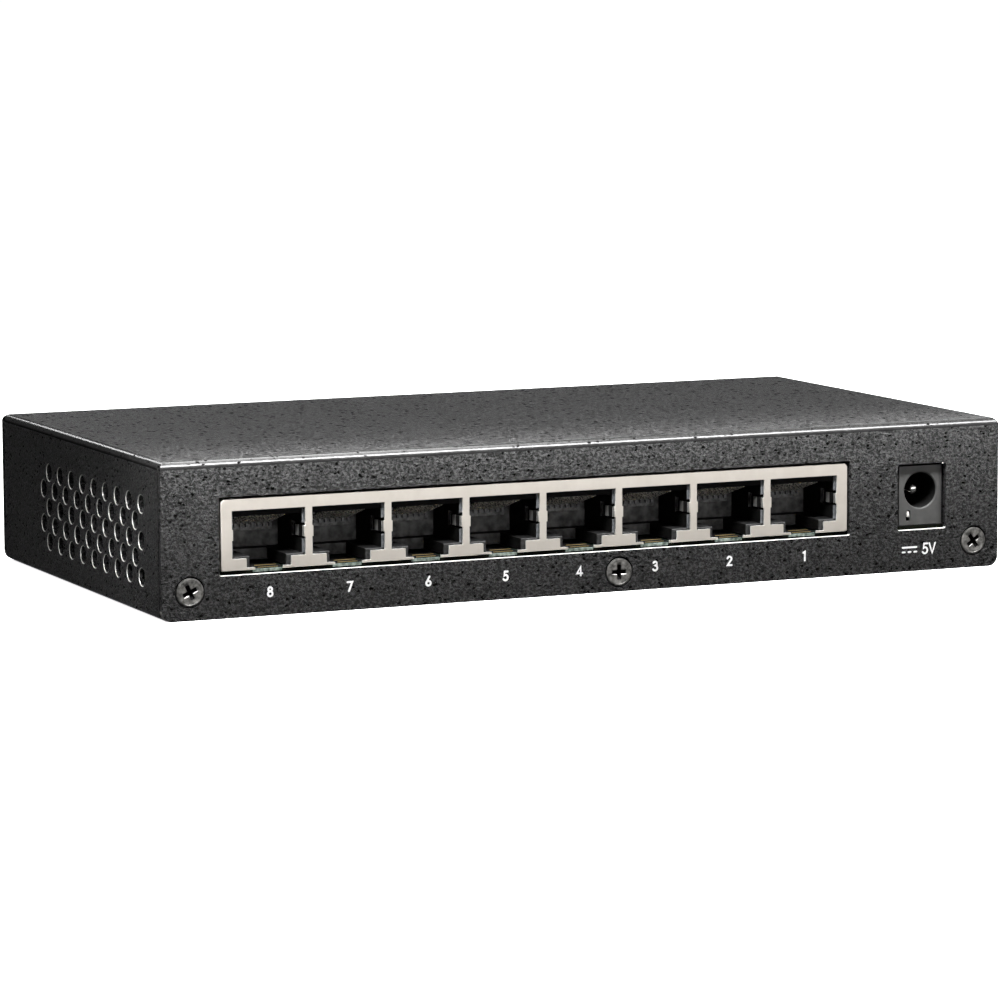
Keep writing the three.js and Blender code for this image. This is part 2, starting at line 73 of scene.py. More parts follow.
SHEET = 1.0
BEND = 1.3  # outer radius of the folds
PAST = 1.0  # how far a cutter reaches out of what it cuts
SKIN = 0.03  # the painted faces lie this far inside the case's box, so that the ink doesn't stand out of it
SEAM = 0.3
BARE = 0.7  # how far the worn edge reaches into an opening
SIDE_LIFT = 0.75
FLANGE_CORNER = 1.8
PORT_OPENING = {"side": 0.33, "below": 0.48, "above": 0.37, "corner": 0.3}  # round the shield
INLET_OPENING = ((LEFT + 134.6, 7.24), (LEFT + 144.0, 18.65))
SILLS = (6.5, 7.6)  # the heights between which both openings have their sills
VENTS = {"rows": 5, "columns": 9, "radius": 1.5, "pitch": 5.93, "drop": 3.0, "first": 9.45, "top": 18.3}
VENT_SIDES = 32
SEAT = {"radius": 2.62, "depth": 0.95, "hole": 1.75}
LAMP_X = [-40.5 + 9 * i for i in range(8)] + [43]
LAMP_Z = 13.2
LAMP_HOLE = 1.5
TONGUE = {"x": 45, "half": 4.3, "low": 1.9, "high": 3.5}


# ---- Outlines and meshes ----

def arc(centre, radius, start, end, steps):
    """Points round an arc, with angles in degrees."""
    points = []
    for i in range(steps + 1):
        angle = math.radians(start + (end - start) * i / steps)
        points.append((centre[0] + radius * math.cos(angle), centre[1] + radius * math.sin(angle)))
    return points


def circle(centre, radius, sides):
    return arc(centre, radius, 180 / sides, 360 + 180 / sides, sides)[:-1]


def rounded(points, radius, steps=4):
    """The outline with its corners rounded, as far as their sides allow. Straight corners are left alone."""
    made = []
    points = [Vector(p) for p in points]
    for i, here in enumerate(points):
        before = points[i - 1] - here
        after = points[(i + 1) % len(points)] - here
        turn = math.pi - before.angle(after)
        if turn < 0.01:
            made.append(tuple(here))
            continue
        reach = min(radius * math.tan(turn / 2), before.length * 0.45, after.length * 0.45)
        start = here + before.normalized() * reach
        end = here + after.normalized() * reach
        for step in range(steps + 1):
            t = step / steps
            made.append(tuple(start * (1 - t) ** 2 + here * 2 * t * (1 - t) + end * t * t))
    return made


def area(points):
    pairs = zip(points, points[1:] + points[:1])
    return sum(a[0] * b[1] - b[0] * a[1] for a, b in pairs) / 2


def grow(points, amount):
    """The outline moved outwards by an amount, or inwards by a negative one, with mitred corners."""
    if abs(amount) < 1e-9:
        return list(points)
    sign = 1 if area(points) > 0 else -1
    points = [Vector(p) for p in points]
    moved = []
    for i, point in enumerate(points):
        before = (point - points[i - 1]).normalized()
        after = (points[(i + 1) % len(points)] - point).normalized()
        normal = Vector((before.y + after.y, -before.x - after.x)) * sign
        if normal.length < 1e-6:
            normal = Vector((before.y, -before.x)) * sign
        normal.normalize()
        side = Vector((before.y, -before.x)) * sign
        moved.append(tuple(point + normal * amount / max(normal.dot(side), 0.4)))
    return moved


def block(low, high):
    return [(low[0], low[1]), (high[0], low[1]), (high[0], high[1]), (low[0], high[1])]


def block_at(x, sizes):
    return block((x - sizes["half"], sizes["low"]), (x + sizes["half"], sizes["high"]))


def front_plane(u, v, depth):
    """A point on the port face: across, up, and how deep behind it."""
    return (u, FRONT + depth, v)


def back_plane(u, v, depth):
    return (u, BACK - depth, v)


def left_plane(u, v, depth):
    return (LEFT + depth, u, v)


def right_plane(u, v, depth):
    return (RIGHT - depth, u, v)


def flat_plane(u, v, depth):
    return (u, v, depth)


class Build:
    """Collects closed bodies and makes one mesh of them."""

    def __init__(self):
        self.points = []
        self.faces = []
        self.kinds = []

    def add(self, points, faces, kinds):
        base = len(self.points)
        self.points += [Vector(p) for p in points]
        self.faces += [[base + i for i in face] for face in faces]
        self.kinds += kinds

    def loft(self, rings, kinds=None, end_kind=0, looped=False):
        """A closed body through rings of equally many points, with a material number for each band.

        A looped one goes on from its last ring to its first, and has no ends.
        """
        count = len(rings[0])
        bands = len(rings) if looped else len(rings) - 1
        kinds = kinds or [0] * bands
        points = [p for ring in rings for p in ring]
        faces = []
        face_kinds = []
        for k in range(bands):
            here, there = k * count, (k + 1) % len(rings) * count
            for i in range(count):
                j = (i + 1) % count
                faces.append([here + i, here + j, there + j, there + i])
                face_kinds.append(kinds[k])
        if not looped:
            faces.append(list(range(count))[::-1])
            faces.append([(len(rings) - 1) * count + i for i in range(count)])
            face_kinds += [end_kind, end_kind]
        self.add(points, faces, face_kinds)

    def prism(self, outline, plane, near, far, edge=0.0, far_edge=0.0, steps=3, kind=0):
        """An outline extruded between two depths, with rounded edges at its ends."""
        rings = []
        for depth, inset in edge_profile(near, far, edge, far_edge, steps):
            rings.append([plane(u, v, depth) for u, v in grow(outline, -inset)])
        self.loft(rings, [kind] * (len(rings) - 1), kind)

    def stack(self, outline, plane, rows):
        """A body from rows of depth, growth of the outline, and material number from there on."""
        rings = [[plane(u, v, depth) for u, v in grow(outline, out)] for depth, out, _ in rows]
        self.loft(rings, [kind for _, _, kind in rows[:-1]])

    def lathe(self, profile, centre, sides):
        """A profile of (radius, place along the axis) turned round an axis along Y through the centre."""
        x, y, z = centre
        rings = []
        for radius, along in profile:
            ring = arc((x, z), radius, 0, 360, sides)[:-1]
            rings.append([(u, y + along, v) for u, v in ring])
        self.loft(rings)

    def object(self, name, materials, smooth=35):
        mesh = bpy.data.meshes.new(name)
        mesh.from_pydata([p * MM for p in self.points], [], self.faces)
        for material in materials:
            mesh.materials.append(material)
        mesh.polygons.foreach_set("material_index", self.kinds)
        face_outwards(mesh)
        mesh.validate()
        obj = bpy.data.objects.new(name, mesh)
        scene.collection.objects.link(obj)
        if smooth:
            shade(obj, smooth)
        return obj


def edge_profile(near, far, edge, far_edge, steps):
    """Depths and insets of the rings of a body with rounded end edges."""
    start = [(near + into, out) for into, out in quarter(edge, steps)] if edge else [(near, 0.0)]
    end = [(far - out, into) for into, out in quarter(far_edge, steps)] if far_edge else [(far, 0.0)]
    return start + end


def quarter(radius, steps):
    """How far a quarter round has gone in, and how far it still stands out, at each step."""
    angles = [math.pi / 2 * i / steps for i in range(steps + 1)]
    return [(radius * (1 - math.cos(angle)), radius * (1 - math.sin(angle))) for angle in angles]


def face_outwards(mesh):
    work = bmesh.new()
    work.from_mesh(mesh)
    bmesh.ops.recalc_face_normals(work, faces=work.faces)
    work.to_mesh(mesh)
    work.free()


def shade(obj, degrees):
    """Smooth shading with sharp edges over an angle, where the large faces stay flat."""
    obj.data.shade_smooth()
    obj.data.set_sharp_from_angle(angle=math.radians(degrees))
    modifier = obj.modifiers.new("weighted_normals", "WEIGHTED_NORMAL")
    modifier.mode = "FACE_AREA"
    modifier.weight = 100
    modifier.keep_sharp = True


def combine(target, operation, tool):
    """Joins or cuts target with tool for good, and removes tool."""
    modifier = target.modifiers.new("combine", "BOOLEAN")
    modifier.operation = operation
    modifier.solver = "MANIFOLD"
    modifier.material_mode = "TRANSFER"
    modifier.object = tool
    made = bpy.data.meshes.new_from_object(target.evaluated_get(bpy.context.evaluated_depsgraph_get()))
    target.modifiers.clear()
    old, name = target.data, target.data.name
    target.data = made
    bpy.data.meshes.remove(old)
    made.name = name
    bpy.data.objects.remove(tool)


def cut(target, build, coats):
    combine(target, "DIFFERENCE", build.object("tool", coats, 0))


def finish(obj, body="root", replaces=()):
    if replaces:
        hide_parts(*replaces)
    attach(obj, body)


# ---- Materials ----

class Nodes:
    """One material's node tree."""

    def __init__(self, name):
        self.material = bpy.data.materials.new(name)
        self.material.use_nodes = True
        self.tree = self.material.node_tree
        self.shader = self.tree.nodes["Principled BSDF"]

    def node(self, kind, inputs=None, **settings):
        made = self.tree.nodes.new("ShaderNode" + kind)
        for key, value in settings.items():
            setattr(made, key, value)
        for key, value in (inputs or {}).items():
            self.feed(made.inputs[key], value)
        return made

    def feed(self, socket, value):
        """Links a socket to a node's output, or gives it a constant."""
        if hasattr(value, "is_output"):
            self.tree.links.new(value, socket)
        else:
            socket.default_value = value

    def place(self):
        return self.node("TexCoord").outputs["Object"]

    def noise(self, scale, detail=2.0, roughness=0.5, place=None):
        inputs = {"Vector": place or self.place(), "Scale": scale, "Detail": detail, "Roughness": roughness}
        return self.node("TexNoise", inputs).outputs["Fac"]

    def cells(self, scale, place):
        inputs = {"Vector": place, "Scale": scale}
        return self.node("TexVoronoi", inputs).outputs["Distance"]

    def warped(self, reach, scale):
        """Object coordinates pushed about by a soft noise, so that what follows them isn't round."""
        colour = self.node("TexNoise", {"Vector": self.place(), "Scale": scale}).outputs["Color"]
        moved = self.node("VectorMath", {0: colour, 1: (reach, reach, reach)}, operation="MULTIPLY")
        return self.node("VectorMath", {0: self.place(), 1: moved.outputs[0]}, operation="ADD").outputs[0]

    def ramp(self, value, stops):
        made = self.node("ValToRGB", {"Fac": value})
        elements = made.color_ramp.elements
        while len(elements) < len(stops):
            elements.new(0.5)
        for element, (place, colour) in zip(elements, stops):
            element.position = place
            element.color = (*colour, 1)
        return made.outputs["Color"]

    def spread(self, value, low, high, from_low=0.0, from_high=1.0):
        inputs = {"Value": value, "From Min": from_low, "From Max": from_high, "To Min": low, "To Max": high}
        return self.node("MapRange", inputs).outputs["Result"]

    def maths(self, operation, a, b=0.0):
        return self.node("Math", {0: a, 1: b}, operation=operation).outputs[0]

    def bump(self, height, distance, strength=1.0, normal=None):
        inputs = {"Height": height, "Distance": distance, "Strength": strength}
        if normal:
            inputs["Normal"] = normal
        return self.node("Bump", inputs).outputs["Normal"]

    def set(self, **values):
        for key, value in values.items():
            self.feed(self.shader.inputs[key.replace("_", " ")], value)


def grey(value):
    return (value, value, value)


PITS = {"scale": 860, "floor": (0.15, 0.26), "slope": (0.10, 0.42), "depth": 0.00022}
PATCHES = {"scale": 600, "edge": (0.58, 0.64)}  # where this noise is high, the coat has no pits
GRAIN = {"scale": 2100, "detail": 3, "roughness": 0.75, "height": 0.00095, "dark": 0.42, "light": 0.58}
GRAIN_WARP = {"reach": 0.0006, "scale": 1500}


def painted_steel(name, stretch, relief, contrast, mean=0.016, rough=0.40, specular=0.12, pit_shade=0.002):
    """Dark hammered powder coat: mottled grain, drawn out by stretch, with scattered pits painted near black
    and without specular as painted shade.
    """
    nodes = Nodes(name)
    warped = nodes.warped(**GRAIN_WARP)
    place = nodes.node("VectorMath", {0: warped, 1: stretch}, operation="MULTIPLY").outputs[0]
    reach = nodes.cells(PITS["scale"], place)
    smooth = nodes.spread(nodes.noise(PATCHES["scale"], 0.0), 0.0, 1.0, *PATCHES["edge"])
    pitted = nodes.maths("MAXIMUM", nodes.spread(reach, 0.0, 1.0, *PITS["floor"]), smooth)
    slopes = nodes.maths("MAXIMUM", nodes.spread(reach, 0.0, 1.0, *PITS["slope"]), smooth)
    mottle = nodes.noise(GRAIN["scale"], GRAIN["detail"], GRAIN["roughness"], place)
    normal = nodes.bump(slopes, PITS["depth"] * relief)
    normal = nodes.bump(mottle, GRAIN["height"] * relief, 1.0, normal)
    low, high = mean * (1 - contrast), mean * (1 + 2.2 * contrast)
    middle_grey = (mean, mean * 0.99, mean * 0.98)
    stops = [(GRAIN["dark"], grey(low)), (0.5, middle_grey), (GRAIN["light"], grey(high))]
    colour = nodes.ramp(mottle, stops)
    # painted shade: inside the pits the colour turns near black and the specular goes to nothing
    dark = nodes.node("Mix", {0: pitted, 6: (*grey(pit_shade), 1), 7: colour}, data_type="RGBA")
    nodes.set(Base_Color=dark.outputs[2], Roughness=nodes.spread(pitted, 0.8, rough))
    nodes.set(Specular_IOR_Level=nodes.spread(pitted, 0.0, specular), Normal=normal)
    return nodes.material


def cut_steel():
    """Bare edge of punched sheet."""
    nodes = Nodes("cut_steel")
    grain = nodes.noise(4000, 2)
    colour = nodes.ramp(nodes.noise(1200, 2), [(0.3, (0.50, 0.49, 0.47)), (0.7, (0.74, 0.73, 0.70))])
    nodes.set(Base_Color=colour, Metallic=0.45, Roughness=nodes.spread(grain, 0.35, 0.55))
    nodes.set(Normal=nodes.bump(grain, 0.00002, 0.4))
    return nodes.material


def satin_metal(name, dark, light, low, high, fine=2600, mottle=350, metallic=1.0):
    """Plated metal with a faint grain."""
    nodes = Nodes(name)
    grain = nodes.noise(fine, 3, 0.6)
    colour = nodes.ramp(nodes.noise(mottle, 3, 0.6), [(0.3, dark), (0.7, light)])
    nodes.set(Base_Color=colour, Metallic=metallic, Roughness=nodes.spread(grain, low, high))
    return nodes.material


def moulded(name, dark, light, low=0.35, high=0.55, specular=0.4, fine=2500, mottle=600):
    """Moulded plastic with a fine spark-eroded texture."""
    nodes = Nodes(name)
    grain = nodes.noise(fine, 2, 0.6)
    colour = nodes.ramp(nodes.noise(mottle, 2), [(0.3, dark), (0.7, light)])
    nodes.set(Base_Color=colour, Roughness=nodes.spread(grain, low, high), Specular_IOR_Level=specular)
    nodes.set(Normal=nodes.bump(grain, 0.00002, 0.4))
    return nodes.material


# Below this height the jack's front is painted near black as painted shade.
NOTCH_TOP = (0.00985, 0.01005)  # the height, in metres, over which the jack's front turns light


def jack_front():
    """Front of the jack's moulding: lighter grey beside the mouths, and painted near black round the latch
    notches as painted shade.
    """
    nodes = Nodes("jack_plastic_front_painted_shade")
    high = nodes.node("SeparateXYZ", {"Vector": nodes.place()}).outputs["Z"]
    upper = nodes.spread(high, 0.0, 1.0, *NOTCH_TOP)
    grain = nodes.noise(1800, 2)
    # painted shade: below the notch height the front is near black
    lower_colour = nodes.ramp(grain, [(0.3, grey(0.008)), (0.7, grey(0.030))])
    upper_colour = nodes.ramp(grain, [(0.3, (0.055, 0.058, 0.062)), (0.7, (0.11, 0.114, 0.12))])
    mixed = nodes.node("Mix", {0: upper, 6: lower_colour, 7: upper_colour}, data_type="RGBA")
    nodes.set(Base_Color=mixed.outputs[2], Roughness=nodes.spread(grain, 0.35, 0.55), Specular_IOR_Level=0.15)
    return nodes.material


def solder_mask():
    """Dark green solder resist with tracks under it on the flat faces, and the board's bare edges painted
    near black without specular as painted shade.
    """
    nodes = Nodes("solder_mask")
    cells = nodes.node("TexVoronoi", {"Vector": nodes.place(), "Scale": 420.0, "Randomness": 0.35},
                       distance="CHEBYCHEV", feature="F1").outputs["Distance"]
    tracks = nodes.ramp(cells, [(0.28, (0.006, 0.034, 0.014)), (0.34, (0.012, 0.072, 0.028))])
    # painted shade: the board's edges are near black
    shaded_board_edges = nodes.ramp(nodes.noise(1600, 2), [(0.3, (0.002, 0.0025, 0.002)), (0.7, (0.005, 0.006, 0.004))])
    normal = nodes.node("NewGeometry").outputs["Normal"]
    up = nodes.node("SeparateXYZ", {"Vector": normal}).outputs["Z"]
    flat = nodes.maths("GREATER_THAN", nodes.maths("ABSOLUTE", up), 0.5)
    mixed = nodes.node("Mix", {0: flat, 6: shaded_board_edges, 7: tracks}, data_type="RGBA")
    nodes.set(Base_Color=mixed.outputs[2], Roughness=nodes.spread(nodes.noise(900), 0.25, 0.4))
    nodes.set(Specular_IOR_Level=nodes.maths("MULTIPLY", flat, 0.5))
    nodes.set(Normal=nodes.bump(cells, 0.00003, 0.3))
    return nodes.material


def ink():
    nodes = Nodes("white_ink")
    colour = nodes.ramp(nodes.noise(2200, 3), [(0.3, grey(0.62)), (0.7, grey(0.84))])
    nodes.set(Base_Color=colour, Roughness=0.6, Specular_IOR_Level=0.2)
    return nodes.material


def clear_plastic():
    nodes = Nodes("clear_plastic")
    nodes.set(Base_Color=(0.85, 0.9, 0.92, 1), Transmission_Weight=0.75, IOR=1.49)
    nodes.set(Roughness=nodes.spread(nodes.noise(900), 0.12, 0.3))
    return nodes.material


def studio_white():
    nodes = Nodes("studio_floor")
    colour = nodes.ramp(nodes.noise(3, 2), [(0.3, grey(0.90)), (0.7, grey(0.93))])
    nodes.set(Base_Color=colour, Roughness=0.9, Specular_IOR_Level=0.0)
    nodes.set(Emission_Color=(1, 1, 1, 1), Emission_Strength=0.97)
    return nodes.material


PAINT = painted_steel("painted_steel", (0.8, 0.9, 1.2), 1.4, 0.8)
TOP_PAINT = painted_steel("painted_top", (0.8, 0.42, 0.8), 1.3, 0.95, pit_shade=0.006)
# The folds' coat: smoother and glossier than the faces, and painted darker (mean 0.010) as painted shade.
FOLD_PAINT = painted_steel("painted_fold", (0.8, 0.9, 1.2), 0.02, 0.2, 0.010, 0.15, 0.21)
EDGE = cut_steel()
SHIELD_METAL = satin_metal("satin_nickel", (0.72, 0.675, 0.615), (0.79, 0.745, 0.685), 0.26, 0.32)
SPRING_METAL = satin_metal("spring_nickel", (0.70, 0.68, 0.65), (0.88, 0.86, 0.82), 0.18, 0.32, metallic=0.5)
SCREW_METAL = satin_metal("dark_nickel", (0.08, 0.08, 0.077), (0.40, 0.395, 0.38), 0.25, 0.45, 1500, 1300)
ZINC = satin_metal("zinc_plate", (0.50, 0.51, 0.50), (0.66, 0.67, 0.66), 0.35, 0.55, 900)
ALUMINIUM = satin_metal("extruded_aluminium", (0.55, 0.56, 0.57), (0.68, 0.69, 0.70), 0.3, 0.5, 1800)
CAN = satin_metal("drawn_can", (0.60, 0.61, 0.62), (0.75, 0.76, 0.77), 0.25, 0.4, 1800)
GOLD = satin_metal("gold_flash", (0.50, 0.48, 0.44), (0.80, 0.77, 0.71), 0.2, 0.35, metallic=0.6)
FINGER_METAL = satin_metal("finger_nickel", (0.14, 0.14, 0.135), (0.26, 0.26, 0.25), 0.3, 0.45, metallic=0.5)
PIN_METAL = satin_metal("pin_nickel", (0.85, 0.84, 0.82), (0.95, 0.94, 0.92), 0.06, 0.14)
GOLD_STRIP = satin_metal("gold_strip", (0.42, 0.30, 0.10), (0.66, 0.50, 0.22), 0.3, 0.45)
# The jack's plastic made near black, as painted shade in its cavities.
SHADED_JACK_PLASTIC = moulded("jack_plastic", grey(0.003), grey(0.007), 0.5, 0.7, 0.05)
COMB_PLASTIC = moulded("comb_plastic", grey(0.03), grey(0.16), 0.35, 0.5, 0.5, 2500, 1500)
BACK_PLASTIC = moulded("jack_back_plastic", grey(0.02), grey(0.12), 0.4, 0.6, 0.3, 2500, 700)
# A near-black finish of painted shade, put in seams, recesses, bores, gaps and under the board's notches.
PAINTED_SHADE_BLACK = moulded("painted_shade_black_plastic", grey(0.003), grey(0.006), 0.6, 0.8, 0.05)
JACK_EDGE = jack_front()
LAMINATE = moulded("bare_laminate", (0.01, 0.02, 0.014), (0.16, 0.19, 0.17), 0.4, 0.6, 0.2, 3500, 1500)
BLACK_PLASTIC = moulded("black_plastic", (0.026, 0.026, 0.0255), (0.040, 0.040, 0.039), 0.3, 0.45, 0.5)
CHIP_PLASTIC = moulded("chip_plastic", (0.012, 0.012, 0.013), (0.022, 0.022, 0.023), 0.5, 0.7)
FERRITE = moulded("ferrite", (0.03, 0.03, 0.032), (0.06, 0.06, 0.062), 0.6, 0.8)
PAD = moulded("thermal_pad", (0.20, 0.28, 0.38), (0.28, 0.37, 0.48), 0.7, 0.9)
# The fourth coat of the cover is near black, for painted shade.
COVER_COATS = [PAINT, EDGE, FOLD_PAINT, PAINTED_SHADE_BLACK, TOP_PAINT]
WALL, BARE_STEEL, FOLD, PAINTED_SHADE_COAT, TOP_FACE = range(5)  # the material numbers of the cover
BOARD = solder_mask()
INK = ink()
CLEAR = clear_plastic()


# ---- Camera ----

VIEW = {"azimuth": -23.785, "elevation": 7.187, "roll": -0.27}  # degrees
VIEW_DISTANCE = 0.784717
VIEW_TARGET = Vector((-0.008846, -0.021647, 0.014))
LENS = 165.62


def make_camera():
    azimuth, elevation, roll = map(math.radians, VIEW.values())
    turn = Matrix.Rotation(azimuth, 4, "Z") @ Matrix.Rotation(math.pi / 2 - elevation, 4, "X")
    turn = turn @ Matrix.Rotation(roll, 4, "Z")
    data = bpy.data.cameras.new("camera")
    data.lens = LENS
    data.sensor_width = 36
    data.clip_start = 0.01
    data.clip_end = 20
    camera = bpy.data.objects.new("camera", data)
    scene.collection.objects.link(camera)
    camera.matrix_world = Matrix.Translation(VIEW_TARGET) @ turn @ Matrix.Translation((0, 0, VIEW_DISTANCE))
    scene.camera = camera


# ---- Case ----

def pan_rings(half_x, half_y, top, radius, low, steps=12):
    """Level outlines of a box whose upper edges are rounded, from the bottom up."""
    rings = []
    heights = [(low, 0.0)] + [(top - out, into) for into, out in quarter(radius, steps)]
    for z, inset in heights:
        x, y = half_x - inset, half_y - inset
        rings.append([(-x, -y, z), (x, -y, z), (x, y, z), (-x, y, z)])
    return rings


def hole(build, outline, plane, lip=0.09, lip_kind=BARE_STEEL, inner_lip=0.05, steps=3):
    """A cutter through the sheet that leaves rolled lips, the outer one worn bare, and a painted wall."""
    start = SKIN if plane in (front_plane, back_plane) else 0.0
    rows = [(-PAST, lip, WALL)]
    rows += [(start + into, out, lip_kind) for into, out in quarter(lip, steps)[:-1]]
    rows += [(start + lip, 0.0, WALL), (BARE, 0.0, WALL), (SHEET - inner_lip, 0.0, WALL)]
    rows += [(SHEET, inner_lip, WALL), (SHEET + PAST, inner_lip, WALL)]
    build.stack(outline, plane, rows)


def vent_centres():
    for row in range(VENTS["rows"]):
        for column in range(VENTS["columns"]):
            along = VENTS["first"] + (column + row % 2 / 2) * VENTS["pitch"]
            yield FRONT + along, VENTS["top"] - row * VENTS["drop"]


def port_face_holes(build):
    gaps = PORT_OPENING
    low = (SHIELD_LOW.x - gaps["side"], SHIELD_LOW.z - gaps["below"])
    high = (SHIELD_HIGH.x + gaps["side"], SHIELD_HIGH.z + gaps["above"])
    hole(build, rounded(block(low, high), gaps["corner"]), front_plane, lip_kind=WALL)
    hole(build, rounded(block(*INLET_OPENING), 0.35), front_plane, lip_kind=WALL)
    for spot in SCREWS.values():
        screw_seat(build, spot)


def screw_seat(build, spot):
    """A countersink with a rolled rim, its cone painted near black as a ring of painted shade round the screw
    head.
    """
    radius = SEAT["radius"]
    rows = [(-PAST, radius + PAST), (SKIN - 0.001, radius + 0.12), (SKIN + 0.05, radius + 0.03),
            (SKIN + 0.14, radius - 0.06), (SEAT["depth"], SEAT["hole"]), (SHEET + PAST, SEAT["hole"])]
    round_hole(build, spot, rows, 48, [WALL, WALL, WALL, PAINTED_SHADE_COAT, WALL])


def round_hole(build, centre, rows, sides, kinds, end_kind=0):
    """A round cutter in the port face, from rows of depth and radius."""
    rings = []
    for depth, radius in rows:
        rings.append([front_plane(u, v, depth) for u, v in circle((centre.x, centre.z), radius, sides)])
    build.loft(rings, kinds, end_kind)


def led_face_holes(build):
    for x in LAMP_X:
        hole(build, circle((x, LAMP_Z), LAMP_HOLE, 32), back_plane)
    for side in (-1, 1):
        hole(build, rounded(block_at(side * TONGUE["x"], TONGUE), 0.3), back_plane)


def side_cutters(build):
    """The vents, and the side flanges' raised lower edges."""
    for plane in (left_plane, right_plane):
        for centre in vent_centres():
            hole(build, circle(centre, VENTS["radius"], VENT_SIDES), plane)
        end = BACK - SHEET - SEAM
        edge = block((-end, -PAST), (end, SIDE_LIFT))
        build.prism(edge, plane, -PAST, SHEET + 0.05, kind=BARE_STEEL)


def seam_cutters(build):
    """The open seams at the case's corners, each with a relief hole at its upper end; their cut faces are
    painted near black as painted shade.
    """
    relief = 0.42
    for plane in (left_plane, right_plane):
        for end in (-1, 1):
            near, far = BACK - SHEET - SEAM, BACK - SHEET
            top = TOP - BEND + 0.15
            outline = [(near, -PAST), (far, -PAST), (far, top)]
            outline += arc((near + SEAM / 2, top + 0.2), relief, -60, 240, 14)
            outline += [(near, top)]
            build.prism([(end * u, v) for u, v in outline], plane, -PAST, SHEET + 0.02, kind=PAINTED_SHADE_COAT)


def corner_cutters(build):
    """Rounds the lower corners of the port and LED flanges."""
    corner = [(RIGHT + PAST, -PAST), (RIGHT + PAST, FLANGE_CORNER)]
    corner += arc((RIGHT - FLANGE_CORNER, FLANGE_CORNER), FLANGE_CORNER, 0, -90, 10)
    corner += [(RIGHT - FLANGE_CORNER, -PAST)]
    for plane in (front_plane, back_plane):
        for side in (-1, 1):
            outline = [(side * u, v) for u, v in corner]
            build.prism(outline, plane, -PAST, SHEET + SEAM / 2, kind=BARE_STEEL)


def sort_cover_faces(mesh):
    """Shows bare steel on the lower edges and sills, and gives the top and the folds their own coats, with
    the steeper lower part of each fold painted near black as a painted shade line under its highlight.
    """
    for face in mesh.polygons:
        lower_edge = face.normal.z < -0.9 and face.center.z < (SIDE_LIFT + 0.2) * MM
        in_port_face = face.center.y < (FRONT + BARE) * MM
        sill = face.normal.z > 0.3 and SILLS[0] * MM < face.center.z < SILLS[1] * MM
        if lower_edge or (in_port_face and sill):
            face.material_index = BARE_STEEL
        elif face.center.z > (TOP - 0.01) * MM:
            face.material_index = TOP_FACE
        elif face.center.z > (TOP - BEND) * MM and max(map(abs, face.normal)) < 0.9995:
            # painted shade: the steeper lower part of each fold goes near black
            face.material_index = PAINTED_SHADE_COAT if face.normal.z < 0.30 else FOLD


def make_cover():
    shell = Build()
    shell.loft(pan_rings(RIGHT, BACK - SKIN, TOP, BEND, 0.0))
    cover = shell.object("case_cover", COVER_COATS, 0)
    inner = Build()
    inner.loft(pan_rings(RIGHT - SHEET, BACK - SHEET, TOP - SHEET, BEND - SHEET, -PAST, 4))
    cut(cover, inner, COVER_COATS)
    for cutters in (port_face_holes, led_face_holes, side_cutters, seam_cutters, corner_cutters):
        build = Build()
        cutters(build)
        cut(cover, build, COVER_COATS)
    sort_cover_faces(cover.data)
    shade(cover, 30)
    finish(cover, replaces=["top_cover"])


# ---- Screws ----

def turned(points, angle):
    cos, sin = math.cos(angle), math.sin(angle)
    return [(x * cos - y * sin, x * sin + y * cos) for x, y in points]


def cross_outline(reach, half):
    corner = [(half, reach), (half, half), (reach, half)]
    points = []
    for turn in range(4):
        points += turned(corner, -math.pi / 2 * turn)
    return points[::-1]


SINK = 0.06  # how deep the screws' rims lie
SCREW_COATS = [SCREW_METAL, PAINTED_SHADE_BLACK]
# Depth of each outline of the cross recess, the reach of its arms and half their width.
RECESS = ((-0.5, 1.46, 0.44), (SINK + 0.05, 1.44, 0.42), (SINK + 0.13, 1.26, 0.33), (0.9, 0.75, 0.26),
          (1.5, 0.3, 0.12))


def make_screw(name):
    spot = SCREWS[name]
    low, high = box_mm(name)
    radius = (high.x - low.x) / 2
    head = [(radius - 0.42, 0.05), (radius - 0.34, 0.0), (radius - 0.2, 0.0), (radius - 0.06, 0.06),
            (radius, 0.18), (radius - 0.04, 0.26)]
    thread = [(1.45, 1.0), (1.45, 4.5), (0.9, high.y - low.y - SINK)]
    build = Build()
    build.lathe([(0.01, 0.05)] + head + thread, (spot.x, low.y + SINK, spot.z), 64)
    screw = build.object(name + "_look", SCREW_COATS, 0)
    tool = Build()
    rings = []
    for depth, reach, half in RECESS:
        outline = turned(rounded(cross_outline(reach, half), 0.12, 3), math.radians(SCREW_TURNS[name]))
        rings.append([(spot.x + u, low.y + depth, spot.z + v) for u, v in outline])
    # painted shade: the deeper part of the cross recess and its bottom are painted near black
    tool.loft(rings, [0, 0, 1, 1], 1)
    cut(screw, tool, SCREW_COATS)
    shade(screw, 25)
    finish(screw, replaces=[name])


# ---- Ganged jack ----

MOUTH = {"half": 6.37, "shoulder": 9.62, "top": 17.45, "notch": 3.87, "foot": 2.4, "foot_top": 8.1}
NUB = {"half": 6.18, "low": 12.6, "high": 14.4}
CAVITY = {"half": 6.02, "shoulder": 9.9, "ceiling": 17.2, "back": 12.0, "latch": 3.16, "latch_back": 9.5}
POCKET = {"half": 6.75, "low": 12.2, "high": 14.8, "back": 5.6}
WIRE_FOLD = (2.4, 16.5)  # behind the port face, height
WIRE_TIP = (10.2, 14.1)
WIRE = {"count": 8, "pitch": 1.016, "radius": 0.22, "bend": 0.45, "leg_end": 11.6}


